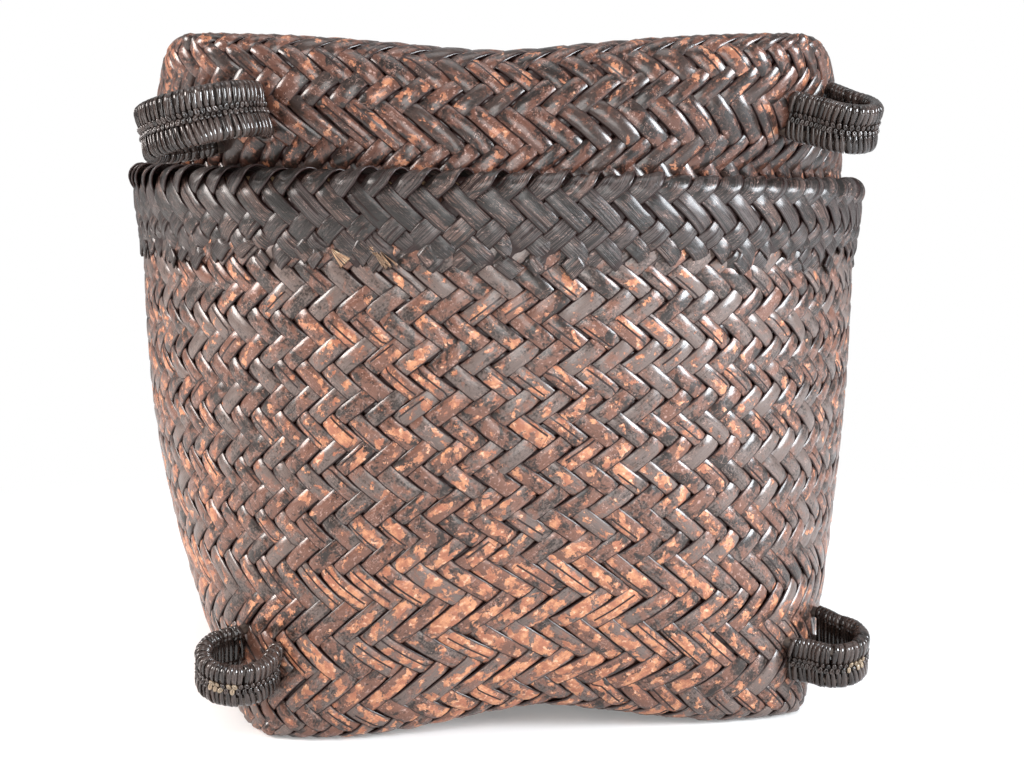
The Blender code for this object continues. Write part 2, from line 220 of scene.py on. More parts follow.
# The darkest colour of the lacquer is painted shade, laid where a strip dives under, along its edges
# and in its splits
lacquerLook = {"soot": (0.017, 0.012, 0.010), "varnish": (0.122, 0.090, 0.079),
               "redBrown": (0.185, 0.082, 0.055), "tan": (0.510, 0.232, 0.120),
               "rust": (0.310, 0.116, 0.066), "pale": (0.700, 0.400, 0.255),
               "bloom": (0.520, 0.340, 0.290), "shadeColour": (0.014, 0.004, 0.003), "gloss": 0.30,
               "wornRoughness": 0.48, "depth": 0.00034, "coat": 0.55, "specular": 0.20,
               "coatRoughness": 0.21, "fibre": 0.2, "lines": 0.15, "redFrom": 0.50}
# The lid's lacquer is the basket's painted darker all over: painted shade for the dimmer light on the
# lid
lidLook = dict(lacquerLook, varnish=(0.036, 0.022, 0.018), soot=(0.009, 0.006, 0.005),
               redBrown=(0.130, 0.054, 0.036), tan=(0.400, 0.172, 0.090),
               rust=(0.250, 0.092, 0.050), pale=(0.540, 0.310, 0.200), redFrom=0.490, coat=0.58)
rimLook = dict(lacquerLook, soot=(0.012, 0.010, 0.009), varnish=(0.064, 0.048, 0.045),
               redBrown=(0.125, 0.074, 0.060), rust=(0.340, 0.190, 0.110),
               tan=(0.560, 0.350, 0.205), pale=(0.780, 0.620, 0.420), depth=0.00060, fibre=1.1,
               lines=0.95, coat=0.50, coatRoughness=0.25)

# What the three lacquers share: each mottle's scale, detail, roughness and distortion, its
# stretch along and across the strip, the values that a mark fades in between, and its weights
lacquerMottles = {"fibre": (1.0, 4.0, 0.6), "cloud": (95.0, 6.0, 0.68), "hairs": (1.0, 2.0, 0.5),
                  "fine": (900.0, 3.0, 0.6), "redness": (125.0, 6.0, 0.70, 0.5),
                  "bloom": (560.0, 4.0, 0.65), "islands": (140.0, 6.0, 0.66, 0.25),
                  "tan": (240.0, 4.0, 0.65), "pale": (420.0, 2.0, 0.5),
                  "scuffs": (330.0, 3.0, 0.55, 0.8), "scuffed": (120.0, 2.0, 0.5),
                  "pits": (1300.0, 2.0, 0.5)}
lacquerStretch = {"fibre": (28.0, 900.0, 1.0), "cloud": (1.0, 1.6, 1.0),
                  "hairs": (20.0, 2600.0, 1.0)}
# Of these steps, low, edge and seam give where painted shade fades in: where a strip dives under,
# along its edges and in its splits; seam also sinks the split in the bump
lacquerSteps = {"dark": (1.12, 1.41), "redness": (0.03, 0.14), "bloom": (0.56, 0.66),
                "worn": (0.85, 0.86), "halo": (0.79, 0.86), "tan": (0.42, 0.62),
                "pale": (0.56, 0.72), "scuffs": (0.010, 0.003), "scuffed": (0.54, 0.62),
                "pits": (0.66, 0.72), "seam": (0.070, 0.025), "low": (0.46, 0.10),
                "edge": (0.80, 0.93), "hairs": (0.55, 0.43)}
lacquerSums = {"dark": {"fibre": 0.35, "tone": 0.42, "fine": 0.70},
               "redness": {"tone": -0.15, "wear": 0.16, "fine": 0.16},
               "islands": {"wear": 0.40, "crown": 0.10, "edgeFall": -0.16, "fine": 0.10},
               "rough": {"fine": 0.10, "cloud": 0.12},
               "height": {"cloud": 0.55, "fine": 0.42, "worn": -0.22, "seam": -0.9}}
# The share that roughens the strips where shade is painted stands on the last line
lacquerShares = {"redness": 0.72, "leastBloom": 0.08, "bloomOnRed": 0.42, "halo": 0.45,
                 "scuffs": 0.55, "pits": 0.6, "edgePower": 3.0, "smoother": 0.09,
                 "shadeRough": 0.25, "hairHeight": 0.5}


def grained(tree, place, name):
    if name in lacquerStretch:
        place = stretched(tree, place, lacquerStretch[name])
    return mottle(tree, place, *lacquerMottles[name])


def spotted(tree, place, name):
    return stepBetween(tree, grained(tree, place, name), *lacquerSteps[name])


def weighed(marks, name):
    return [(marks[key], weight) for key, weight in lacquerSums[name].items()]


def lacquered(tree, place, marks, look):
    # Sooty varnish with red-brown patches and a pale bloom, most of it on the red
    dark = addUp(tree, marks["cloud"], weighed(marks, "dark"))
    dark = stepBetween(tree, dark, *lacquerSteps["dark"])
    colour = blendColours(tree, dark, look["soot"], look["varnish"])
    redness = addUp(tree, grained(tree, place, "redness"), weighed(marks, "redness"))
    redness = stepBetween(tree, redness,
                          *(look["redFrom"] + step for step in lacquerSteps["redness"]))
    share = calculate(tree, "MULTIPLY", redness, lacquerShares["redness"])
    colour = blendColours(tree, share, colour, look["redBrown"])
    share = addUp(tree, lacquerShares["leastBloom"], ((redness, lacquerShares["bloomOnRed"]),))
    share = calculate(tree, "MULTIPLY", spotted(tree, place, "bloom"), share)
    return blendColours(tree, share, colour, look["bloom"])


def wornThrough(tree, place, marks, look, colour):
    # Sharp-edged islands of bare strip with a red-brown edge, and where they are
    islands = addUp(tree, grained(tree, place, "islands"), weighed(marks, "islands"))
    worn = stepBetween(tree, islands, *lacquerSteps["worn"])
    halo = stepBetween(tree, islands, *lacquerSteps["halo"])
    bare = blendColours(tree, spotted(tree, place, "tan"), look["rust"], look["tan"])
    bare = blendColours(tree, spotted(tree, place, "pale"), bare, look["pale"])
    share = calculate(tree, "MULTIPLY", halo, lacquerShares["halo"])
    colour = blendColours(tree, share, colour, look["redBrown"])
    return blendColours(tree, worn, colour, bare), worn


def scuffedAndPitted(tree, place, look, colour):
    middle = addUp(tree, -0.5, ((grained(tree, place, "scuffs"), 1.0),))
    scuffs = stepBetween(tree, calculate(tree, "ABSOLUTE", middle, 0.0), *lacquerSteps["scuffs"])
    share = calculate(tree, "MULTIPLY", spotted(tree, place, "scuffed"), lacquerShares["scuffs"])
    colour = blendColours(tree, calculate(tree, "MULTIPLY", scuffs, share), colour, look["bloom"])
    share = calculate(tree, "MULTIPLY", spotted(tree, place, "pits"), lacquerShares["pits"])
    return blendColours(tree, share, colour, look["soot"])


def makeLacquer(name, look):
    # Smoked strips under an old lacquer, worn through in sharp-edged islands on the crowns
    finish, tree = newFinish(name)
    place = addNode(tree, "UVMap", uv_map="strip").outputs["UV"]
    marks = {key: painted(tree, key) for key in ("tone", "crown", "wear", "edge", "split")}
    for key in ("fibre", "cloud", "hairs", "fine"):
        marks[key] = grained(tree, place, key)
    marks["edgeFall"] = calculate(tree, "POWER", marks["edge"], lacquerShares["edgePower"])
    colour = lacquered(tree, place, marks, look)
    colour, marks["worn"] = wornThrough(tree, place, marks, look, colour)
    colour = scuffedAndPitted(tree, place, look, colour)

    # Painted shade: near-black where a strip dives under its neighbours, along its edges and in the
    # line of its splits, which also sink in the bump
    fromSplit = calculate(tree, "ABSOLUTE", marks["split"], 0.0)
    marks["seam"] = stepBetween(tree, fromSplit, *lacquerSteps["seam"])
    low = stepBetween(tree, marks["crown"], *lacquerSteps["low"])
    edgeShade = stepBetween(tree, marks["edge"], *lacquerSteps["edge"])
    paintedShade = calculate(tree, "MAXIMUM", calculate(tree, "MAXIMUM", low, marks["seam"]), edgeShade)
    lined = stepBetween(tree, marks["hairs"], *lacquerSteps["hairs"])
    lined = calculate(tree, "MULTIPLY", lined, look["lines"])
    colour = blendColours(tree, lined, colour, look["soot"])
    colour = blendColours(tree, paintedShade, colour, look["shadeColour"])

    rough = addUp(tree, look["gloss"] - lacquerShares["smoother"], weighed(marks, "rough"))
    rough = addUp(tree, rough, ((marks["worn"], look["wornRoughness"] - look["gloss"]),
                                (paintedShade, lacquerShares["shadeRough"])))
    height = addUp(tree, 0.0, ((marks["fibre"], look["fibre"]),
                               (marks["hairs"], look["fibre"] * lacquerShares["hairHeight"])))
    height = addUp(tree, height, weighed(marks, "height"))
    coatShader(finishShader(tree, colour, rough, height, look["depth"]), look)
    return finish


caneLook = {"dark": (0.009, 0.006, 0.005), "light": (0.052, 0.036, 0.031),
            "straw": (0.480, 0.360, 0.240), "roughness": 0.26, "depth": 0.00012, "coat": 0.85,
            "specular": 0.15, "coatRoughness": 0.13, "stretch": (3.0, 14.0, 1.0), "apart": 40.0,
            "fibre": (1.0, 3.0, 0.6), "dust": (420.0, 3.0, 0.6), "lightFrom": (0.62, 1.05),
            "toneShare": 0.35, "dustShare": 0.30, "smoother": 0.08, "dustRough": 0.18,
            "dustHeight": 0.4}


def makeCane(name, look):
    # Near-black split cane with fine lengthwise fibres, a few turns left straw-coloured
    finish, tree = newFinish(name)
    place = addNode(tree, "UVMap", uv_map="strip").outputs["UV"]
    tone, straw = painted(tree, "tone"), painted(tree, "straw")
    lift = addNode(tree, "CombineXYZ", Z=calculate(tree, "MULTIPLY", tone, look["apart"]))
    place = addInOrder(tree, "VectorMath",
                       (stretched(tree, place, look["stretch"]), lift.outputs[0]),
                       operation="ADD")
    fibre = mottle(tree, place, *look["fibre"])
    dust = mottle(tree, addNode(tree, "TexCoord").outputs["Object"], *look["dust"])
    light = addUp(tree, fibre, ((tone, look["toneShare"]), (dust, look["dustShare"])))
    light = stepBetween(tree, light, *look["lightFrom"])
    colour = blendColours(tree, light, look["dark"], look["light"])
    colour = blendColours(tree, calculate(tree, "MULTIPLY", straw, fibre), colour, look["straw"])
    rough = addUp(tree, look["roughness"] - look["smoother"], ((dust, look["dustRough"]),))
    height = addUp(tree, fibre, ((dust, look["dustHeight"]),))
    coatShader(finishShader(tree, colour, rough, height, look["depth"]), look)
    return finish


rodLook = {"dark": (0.030, 0.022, 0.019), "light": (0.090, 0.066, 0.052), "scale": 260.0,
           "roughness": 0.5, "depth": 0.00015, "bark": (4.0, 0.6), "finer": 6,
           "pores": (2.0, 0.5), "lightFrom": (0.38, 0.64), "smoother": 0.1, "barkRough": 0.2,
           "poreHeight": 0.5}
hoopLook = dict(rodLook, dark=(0.190, 0.115, 0.060), light=(0.380, 0.260, 0.145), scale=180.0,
                roughness=0.55)


def makeRod(name, look):
    # Round cane: blotched bark with fine pores
    finish, tree = newFinish(name)
    place = addNode(tree, "TexCoord").outputs["Object"]
    bark = mottle(tree, place, look["scale"], *look["bark"])
    pores = mottle(tree, place, look["scale"] * look["finer"], *look["pores"])
    light = stepBetween(tree, bark, *look["lightFrom"])
    colour = blendColours(tree, light, look["dark"], look["light"])
    rough = addUp(tree, look["roughness"] - look["smoother"], ((bark, look["barkRough"]),))
    height = addUp(tree, bark, ((pores, look["poreHeight"]),))
    finishShader(tree, colour, rough, height, look["depth"])
    return finish


# The forms that the strips lie on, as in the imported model. The basket's rows are narrower
# towards its base by narrow[0], and nothing of it comes lower than clear above the floor.
basketForm = {"perSide": 20, "half": 0.1247, "corner": 1.307, "mouth": 0.1656, "top": 0.2266,
              "arch": 0.0115, "foot": 0.0015, "dish": 0.020, "lean": 3.0, "square": 3.7,
              "rows": 44.8, "edgeRows": 1.25, "narrow": (0.075, 4), "clear": 0.0004,
              "turn": 0.0}
lidForm = {"perSide": 22, "half": 0.1381, "corner": 1.288, "mouth": 0.15966, "rise": 0.058,
           "sag": 0.008, "dish": 0.007, "rim": 0.2336, "bottom": 0.2062, "taper": 0.0031,
           "lean": 1.84, "square": 1.25, "spread": 1.5, "rows": 15.6, "edgeRows": 1.5,
           "turn": math.radians(-8.6)}
cornerPower = 1.5
straightRows = 4.0


def sectionRadius(half, corner, angle):
    power = 1.0 / (0.5 - np.log2(corner))
    across = np.abs(np.cos(angle)) ** power + np.abs(np.sin(angle)) ** power
    return half / across ** (1.0 / power)


def cornerWeight(angle):
    return np.abs(np.sin(2 * angle)) ** cornerPower


def smooth(share):
    share = np.clip(share, 0.0, 1.0)
    return share * share * (3 - 2 * share)


def roundPoints(radius, angle, height):
    return np.stack([radius * np.cos(angle), radius * np.sin(angle), height], -1)


def wallAngle(side, place, count, roundness):
    # place is counted in strips from the middle of a side, and may run past its corners
    over = np.floor(place / (2 * count) + 0.5)
    local = place - 2 * count * over
    turned = (1 - roundness) * np.arctan2(local, count) + roundness * local / count * np.pi / 4
    return (side + over - 1) * np.pi / 2 + turned


def basketWall(side, place, row):
    form = basketForm
    most, power = form["narrow"]
    share = row / form["rows"]
    share = share * (1 - most * (1 - np.clip(share, 0, 1)) ** power)
    rest = np.clip(1 - share, 0, 1)
    angle = wallAngle(side, place, form["perSide"] / 2, 1 - rest ** 2)
    half = form["mouth"] - (form["mouth"] - form["half"]) * rest ** form["lean"]
    radius = sectionRadius(half, form["corner"] ** (rest ** form["square"]), angle)
    weight = cornerWeight(angle)
    edge = np.maximum(form["arch"] * (1 - weight) - form["foot"] * weight, form["clear"])
    return roundPoints(radius, angle, edge * rest ** 2 + form["top"] * share)


def flatPlace(side, place, row, form):
    # A point of the flat side: its rings near the edge turn into straight rows further in,
    # as the wall's own strips run on under it
    count = form["perSide"] / 2
    out = np.maximum(count + row / 2, 0.0)
    angle = np.arctan2(place, out) + (side - 1) * np.pi / 2
    ring = np.minimum(np.maximum(np.abs(place), out) / count, 1.0)
    edge = sectionRadius(form["half"], form["corner"], angle)
    blend = smooth(-row / straightRows)
    straight = np.hypot(place, out) / count * form["half"]
    radius = ring * edge * (1 - blend) + np.minimum(straight, edge) * blend
    return radius, angle, np.clip(radius / edge, 0, 1)


def basketFloor(side, place, row):
    form = basketForm
    radius, angle, share = flatPlace(side, place, row, form)
    weight = cornerWeight(angle)
    edge = form["arch"] * (1 - weight) - form["foot"] * weight
    height = edge * share ** 2 + form["dish"] * (1 - share ** 2) ** 2
    return roundPoints(radius, angle, np.maximum(height, form["clear"]))


def lidWall(side, place, row):
    form = lidForm
    down = row / form["rows"]
    angle = wallAngle(side, place, form["perSide"] / 2, np.zeros_like(row))
    weight = cornerWeight(angle)
    edge = form["rim"] + form["rise"] - form["sag"] * (1 - weight)
    height = edge + (form["bottom"] - edge) * down
    share = np.clip((height - form["rim"]) / form["rise"], 0, 1)
    angle = wallAngle(side, place, form["perSide"] / 2, 1 - share ** form["spread"])
    half = form["mouth"] + (form["half"] - form["mouth"]) * share ** form["lean"]
    below = (form["rim"] - height) / (form["rim"] - form["bottom"])
    half = half - form["taper"] * smooth(below)
    radius = sectionRadius(half, form["corner"] ** (share ** form["square"]), angle)
    return roundPoints(radius, angle, height)


def lidTop(side, place, row):
    form = lidForm
    radius, angle, share = flatPlace(side, place, row, form)
    edge = form["rise"] - form["sag"] * (1 - cornerWeight(angle))
    height = edge * share ** 2 + (form["rise"] - form["dish"]) * (1 - share ** 2)
    return roundPoints(radius, angle, form["rim"] + height)


def shellPoint(shell, side, place, row):
    # Wall above row 0, flat side below it, and a rounded edge between them
    wall, flat, bend = shell["wall"], shell["flat"], shell["form"]["edgeRows"]
    points = np.where((row > 0)[..., None], wall(side, place, np.maximum(row, 0.0)),
                      flat(side, place, np.minimum(row, 0.0)))
    share = np.clip((row + bend) / (2 * bend), 0.0, 1.0)[..., None]
    near = (np.abs(row) < bend)[..., None]
    same = np.ones_like(row)
    curve = ((1 - share) ** 2 * flat(side, place, -bend * same)
             + 2 * share * (1 - share) * wall(side, place, 0 * same)
             + share ** 2 * wall(side, place, bend * same))
    return np.where(near, curve, points)


# step is the rows and places between which a direction is taken, blendRows the rows of the flat
# side over which the rough normal turns upright, and sound and pull say where it helps out
framing = {"step": 0.30, "blendRows": 3.0, "sound": 0.75, "pull": 2}


def shellFrame(shell, side, place, row):
    # Point, outward normal, and the length of one strip place and of one row there
    step = framing["step"]
    point = shellPoint(shell, side, place, row)
    along = (shellPoint(shell, side, place + step, row)
             - shellPoint(shell, side, place - step, row)) / (2 * step)
    up = (shellPoint(shell, side, place, row + step)
          - shellPoint(shell, side, place, row - step)) / (2 * step)
    lengthAlong, lengthUp = np.linalg.norm(along, axis=-1), np.linalg.norm(up, axis=-1)
    normal = np.cross(along, up) * shell["facing"]
    normal /= np.maximum(lengthAlong * lengthUp, 1e-12)[:, None]
    # near the sharp corners of the flat side the two directions fall together
    rough = point / np.maximum(np.linalg.norm(point[:, :2], axis=-1), 1e-9)[:, None]
    wallShare = smooth((row + framing["blendRows"]) / framing["blendRows"])
    rough[:, :2] *= wallShare[:, None]
    rough[:, 2] = -shell["facing"] * (1 - wallShare)
    short = np.clip(framing["sound"] - np.linalg.norm(normal, axis=-1), 0.0, 1.0)
    agree = np.sign((normal * rough).sum(axis=-1))
    normal = normal * agree[:, None] + rough * short[:, None] * framing["pull"]
    normal /= np.maximum(np.linalg.norm(normal, axis=-1, keepdims=True), 1e-12)
    return point, normal, lengthAlong, lengthUp


# Plaiting: one strip is modelled flat, and each copy is laid along its own way
plait = {"thickness": 0.0009, "lift": 0.00096, "depth": 0.0018, "sway": 0.038,
         "widthPlay": 0.038, "edgePlay": 0.038, "heightPlay": 0.14, "wearPlay": 0.09,
         "across": (-0.5, -0.43, -0.22, 0.22, 0.43, 0.5), "tilt": 0.00024, "mostTilt": 2.0,
         "middle": 1.6, "thinEdge": 0.45, "backCrown": 0.3, "aspect": (0.6, 2.6),
         "splitShare": (0.40, 0.05), "splitSpread": 2.4, "splitFrom": -1.2, "unsplit": 9.0,
         "splitStep": 0.25, "splitWear": 0.12, "waves": (-80, 120), "wave": 1.7,
         "otherEdge": 40, "rowLength": 0.0082, "stripWidth": 0.008,
         "shift": (0.37, 11.3, 0.013)}


def makeFlatStrip(samples):
    # A thin closed strip: X runs along it from 0 to 1, Y across it, Z through its thickness
    across = plait["across"]
    bpy.ops.object.select_all(action="DESELECT")
    bpy.ops.mesh.primitive_grid_add(x_subdivisions=samples, y_subdivisions=len(across) - 1,
                                    size=1.0, location=(0.5, 0.0, 0.5))
    strip = bpy.context.object
    bpy.ops.object.transform_apply(location=True, rotation=False, scale=False)
    rows = sorted({round(vert.co.y, 5) for vert in strip.data.vertices})
    for vert in strip.data.vertices:
        vert.co.y = across[rows.index(round(vert.co.y, 5))]
    thick = strip.modifiers.new("thickness", "SOLIDIFY")
    thick.thickness = 1.0
    thick.offset = -1.0
    bpy.ops.object.modifier_apply(modifier=thick.name)
    return strip


def copyOf(source):
    copy = source.copy()
    copy.data = source.data.copy()
    bpy.context.scene.collection.objects.link(copy)
    return copy


def meshPlaces(mesh):
    places = np.zeros(len(mesh.vertices) * 3, np.float32)
    mesh.vertices.foreach_get("co", places)
    return places.reshape(-1, 3).astype(float)


def movePlaces(mesh, points):
    mesh.vertices.foreach_set("co", points.astype(np.float32).ravel())


def paintPoints(mesh, name, values):
    layer = mesh.attributes.new(name, "FLOAT", "POINT")
    layer.data.foreach_set("value", values.astype(np.float32))


# from row, to row, and whether the first family lies on top there
basketBands = [(-1, 1, True), (1, 3, False), (3, 6, True), (6, 9, False), (9, 12, True),
               (12, 15, False)] + [(15 + 2 * k, 17 + 2 * k, k % 2 == 0) for k in range(16)]
basketBands += [(-1 - 2 * k, 1 - 2 * k, k % 2 == 0) for k in range(1, 12)]
lidBands = [(-1, 1, False), (1, 3, True), (3, 5, False), (5, 8, True), (8, 10, False),
            (10, 12, True), (12, 14, False), (14, 16, True), (16, 18, False)]
lidBands += [(-1 - 2 * k, 1 - 2 * k, k % 2 == 1) for k in range(1, 12)]


def overAt(row, bands):
    # +1 where the first family lies on top, -1 where it runs under
    for low, high, first in bands:
        if low <= row < high:
            return 1.0 if first else -1.0
    return 1.0 if math.floor((row - bands[0][0]) / 2) % 2 == 0 else -1.0


def floatNumbers(signs):
    # Crossings next to each other on the same side are one float
    return np.concatenate([[0], np.cumsum(signs[1:] != signs[:-1])])


def unevenEdges(way, across, waves, chance):
    # The two edges of a strip wander apart from each other
    spots = np.arange(*waves, plait["wave"])
    return np.interp(way + plait["otherEdge"] * (across > 0), spots,
                     chance.standard_normal(len(spots)))


def heightBetween(way, knots, heights):
    # The height at each place between two knots, and the nearer knot
    index = np.clip(np.searchsorted(knots, way) - 1, 0, len(knots) - 2)
    share = (way - knots[index]) / (knots[index + 1] - knots[index])
    height = heights[index] + (heights[index + 1] - heights[index]) * smooth(share)
    return height, np.where(share > 0.5, index + 1, index)


def crowned(flat, crown):
    bulge = crown * (1 - (2 * flat[:, 1]) ** 2)
    return np.where(flat[:, 2] > 0, bulge, bulge * plait["backCrown"])


def layStrip(template, shell, side, start, chance):
    # Down the wall as the first family, across the flat side and up as the second
    turn = -(shell["form"]["perSide"] / 2 + start)
    reach = shell["rows"] - turn
    levels = np.arange(math.ceil(turn - 0.5) + 0.5, shell["rows"] + 1.0, 1.0)
    signs = np.array([overAt(level, shell["bands"]) for level in levels])
    knots = np.concatenate([-(levels - turn)[::-1], levels - turn])
    heights = np.concatenate([signs[::-1], -signs])
    number = floatNumbers(heights)
    floats = number.max() + 2
    tones = chance.random(floats)[number]
    wears = chance.standard_normal(floats)[number]
    tilts = np.clip(chance.standard_normal(floats)[number], -plait["mostTilt"],
                    plait["mostTilt"])
    # the strips that fall to the right are split lengthwise far more often
    splits = chance.random(floats)[number]
    most = np.where((knots > 0) == shell["fallsSecond"], *plait["splitShare"])
    splits = np.where(splits < most, plait["splitSpread"] * splits / most + plait["splitFrom"],
                      plait["unsplit"])
    # a float stands highest at its middle
    inner = np.concatenate([[False], (heights[1:-1] == heights[:-2])
                            & (heights[1:-1] == heights[2:]), [False]])
    heights = heights * (1 - shell["arch"] / 2 + shell["arch"] * plait["middle"] * inner)
    heights = heights * (1 + plait["heightPlay"] * (chance.random(len(heights)) - 0.5))

    flat = meshPlaces(template.data)
    way = (flat[:, 0] * 2 - 1) * reach
    first = way < 0
    row = turn + np.abs(way)
    place = np.where(first, start + row / 2, -start - row / 2)
    sides = np.where(first, side, side - 1).astype(float)
    sway = plait["sway"] * np.interp(way, knots[::3], chance.standard_normal(len(knots[::3])))
    width = shell["fill"] * (1 + plait["widthPlay"] * chance.standard_normal())

    _, _, lengthPlace, lengthRow = shellFrame(shell, sides, place, row)
    ratio = np.clip(lengthPlace ** 2 / (4 * np.maximum(lengthRow, 1e-4) ** 2), *plait["aspect"])
    uneven = unevenEdges(way, flat[:, 1], plait["waves"], chance)
    across = flat[:, 1] * (width + plait["edgePlay"] * uneven) + sway
    shift = across / (1 + ratio)
    place = np.where(first, place + shift, place - shift)
    row = row - 2 * ratio * shift
    point, normal, _, _ = shellFrame(shell, sides, place, row)

    height, nearest = heightBetween(way, knots, heights)
    thin = 1 - plait["thinEdge"] * (2 * flat[:, 1]) ** 6
    out = (-plait["depth"] + plait["lift"] * height + plait["thickness"] * flat[:, 2] * thin
           + crowned(flat, shell["crown"]))
    out = out + plait["tilt"] * tilts[nearest] * 2 * flat[:, 1]
    points = point + normal * out[:, None]
    outside = flat[:, 2] > 0
    wear = (shell["wear"](points) + plait["wearPlay"] * wears[nearest]
            + plait["splitWear"] * (splits[nearest] < plait["unsplit"]))
    # what lies under outside lies on top inside
    raised = np.where(outside, height, -height) * 0.5 + 0.5
    marks = {"crown": np.clip(raised, 0, 1), "tone": tones[nearest],
             "wear": np.where(outside, wear, shell["insideWear"]),
             "split": flat[:, 1] - plait["splitStep"] * splits[nearest]}
    return points, marks, (way + reach) * plait["rowLength"]


# a wear that fades in gives the height where it starts and the run it takes
basketWorn = {"least": 0.06, "low": 0.22, "lowFrom": (0.212, 0.05), "sunk": 0.02,
              "sunkFrom": (0.125, 0.07), "middle": 0.15, "sunkMiddle": 0.13, "power": 0.8,
              "greyer": 0.08, "greyTurn": 0.45}
lidWorn = {"least": 0.28, "middle": 0.09, "corner": 0.15, "cornerFrom": (0.262, 0.02),
           "power": 4, "greyer": 0.07, "greyTurn": 0.6}


def basketWear(points):
    # Worn most low down in the middle of a side, hardly at all below the rim
    worn = basketWorn
    angle = np.arctan2(points[:, 1], points[:, 0])
    middle = np.abs(np.cos(2 * angle)) ** worn["power"]
    low, sunk = (smooth((start - points[:, 2]) / run)
                 for start, run in (worn["lowFrom"], worn["sunkFrom"]))
    greyer = np.clip(np.cos(angle + worn["greyTurn"]), 0.0, 1.0) ** 2
    return (worn["least"] + worn["low"] * low + worn["sunk"] * sunk
            + (worn["middle"] + worn["sunkMiddle"] * sunk) * middle - worn["greyer"] * greyer)


def lidWear(points):
    # Worn all over, and most at the corners of its top
    worn = lidWorn
    angle = np.arctan2(points[:, 1], points[:, 0]) - lidForm["turn"]
    start, run = worn["cornerFrom"]
    corner = cornerWeight(angle) ** worn["power"] * smooth((points[:, 2] - start) / run)
    greyer = np.clip(np.cos(angle + worn["greyTurn"]), 0.0, 1.0) ** 2
    return (worn["least"] + worn["middle"] * np.abs(np.cos(2 * angle)) + worn["corner"] * corner
            - worn["greyer"] * greyer)


def finishStrip(template, points, marks, length, shift):
    # A copy of the flat strip at its points, with its marks and its own part of the pattern
    strip = copyOf(template)
    mesh = strip.data
    width = meshPlaces(mesh)[:, 1]
    movePlaces(mesh, points)
    for name, values in marks.items():
        paintPoints(mesh, name, values)
    paintPoints(mesh, "edge", np.abs(2 * width))
    corners = np.zeros(len(mesh.loops), np.int32)
    mesh.loops.foreach_get("vertex_index", corners)
    uv = mesh.uv_layers[0]
    uv.name = "strip"
    flatUv = np.stack([length[corners], width[corners] * plait["stripWidth"]], -1) + shift
    uv.data.foreach_set("uv", flatUv.astype(np.float32).ravel())
    mesh.update()
    return strip


def joinPieces(objs, name):
    bpy.ops.object.select_all(action="DESELECT")
    for obj in objs:
        obj.select_set(True)
    bpy.context.view_layer.objects.active = objs[0]
    bpy.ops.object.join()
    piece = bpy.context.object
    piece.name = name
    piece.data.name = name
    bpy.ops.object.mode_set(mode="EDIT")
    bpy.ops.mesh.select_all(action="SELECT")
    bpy.ops.mesh.normals_make_consistent(inside=False)
    bpy.ops.object.mode_set(mode="OBJECT")
    bpy.ops.object.shade_smooth()
    return piece


basketShell = {"form": basketForm, "wall": basketWall, "flat": basketFloor, "facing": 1.0,
               "wear": basketWear, "insideWear": 0.20, "fallsSecond": True, "arch": 0.20,
               "crown": 0.00080, "fill": 0.970, "bands": basketBands, "rows": 44.0,
               "samples": 290, "seed": 1000,
               "names": ("plaitFront", "plaitRight", "plaitBack", "plaitLeft")}
lidShell = {"form": lidForm, "wall": lidWall, "flat": lidTop, "facing": -1.0,
            "wear": lidWear, "insideWear": 0.20, "fallsSecond": False, "arch": 0.32,
            "crown": 0.00115, "fill": 0.950, "bands": lidBands, "rows": 15.3,
            "samples": 150, "seed": 5000,
            "names": ("lidPlaitFront", "lidPlaitRight", "lidPlaitBack", "lidPlaitLeft")}


def plaitShell(shell):
    template = makeFlatStrip(shell["samples"])
    perSide, seed = shell["form"]["perSide"], shell["seed"]
    perStrip, perFace, perSeed = plait["shift"]
    pieces = []
    for side, name in enumerate(shell["names"]):
        strips = []
        for number in range(perSide):
            chance = np.random.default_rng(seed + side * 100 + number)
            laid = layStrip(template, shell, side, number - perSide / 2 + 0.75, chance)
            shift = perStrip * number + perFace * side + perSeed * seed
            strips.append(finishStrip(template, *laid, shift))
        piece = joinPieces(strips, name)
        piece.data.transform(Matrix.Rotation(shell["form"]["turn"], 4, "Z"))
        pieces.append(piece)
    bpy.data.objects.remove(template, do_unlink=True)
    return pieces


# Rim: strip ends folded over the hoop, wide floats below the fold, and a zone of tucked ends
rimFold = {"count": 80, "pitch": 0.0062, "start": -0.0014, "outer": 0.1679, "inner": 0.1613,
           "crest": 0.2328, "side": 1, "lowOuter": 0.1656, "from": -0.0150,
           "to": (0.0330, 0.0415), "samples": 60, "thickness": 0.0008, "lift": 0.00090,
           "crown": 0.00070, "fill": 0.925, "curl": 0.00125, "dive": 0.0030, "turn": 0.0,
           "bands": [(-4, -2, False), (-2, 0, True), (0, 2, False), (2, 4, True), (4, 5, False),
                     (5, 6, True), (6, 7, False), (7, 9, True)]}
rimStubs = {"share": 0.30, "from": (0.0265, 0.0330), "length": (0.0060, 0.0085),
            "width": (0.50, 0.90), "samples": 10, "lift": 0.0007, "slant": 0.12, "dive": 0.0030,
            "rise": 0.0, "taper": 0.0, "wear": None, "beside": 0.35}
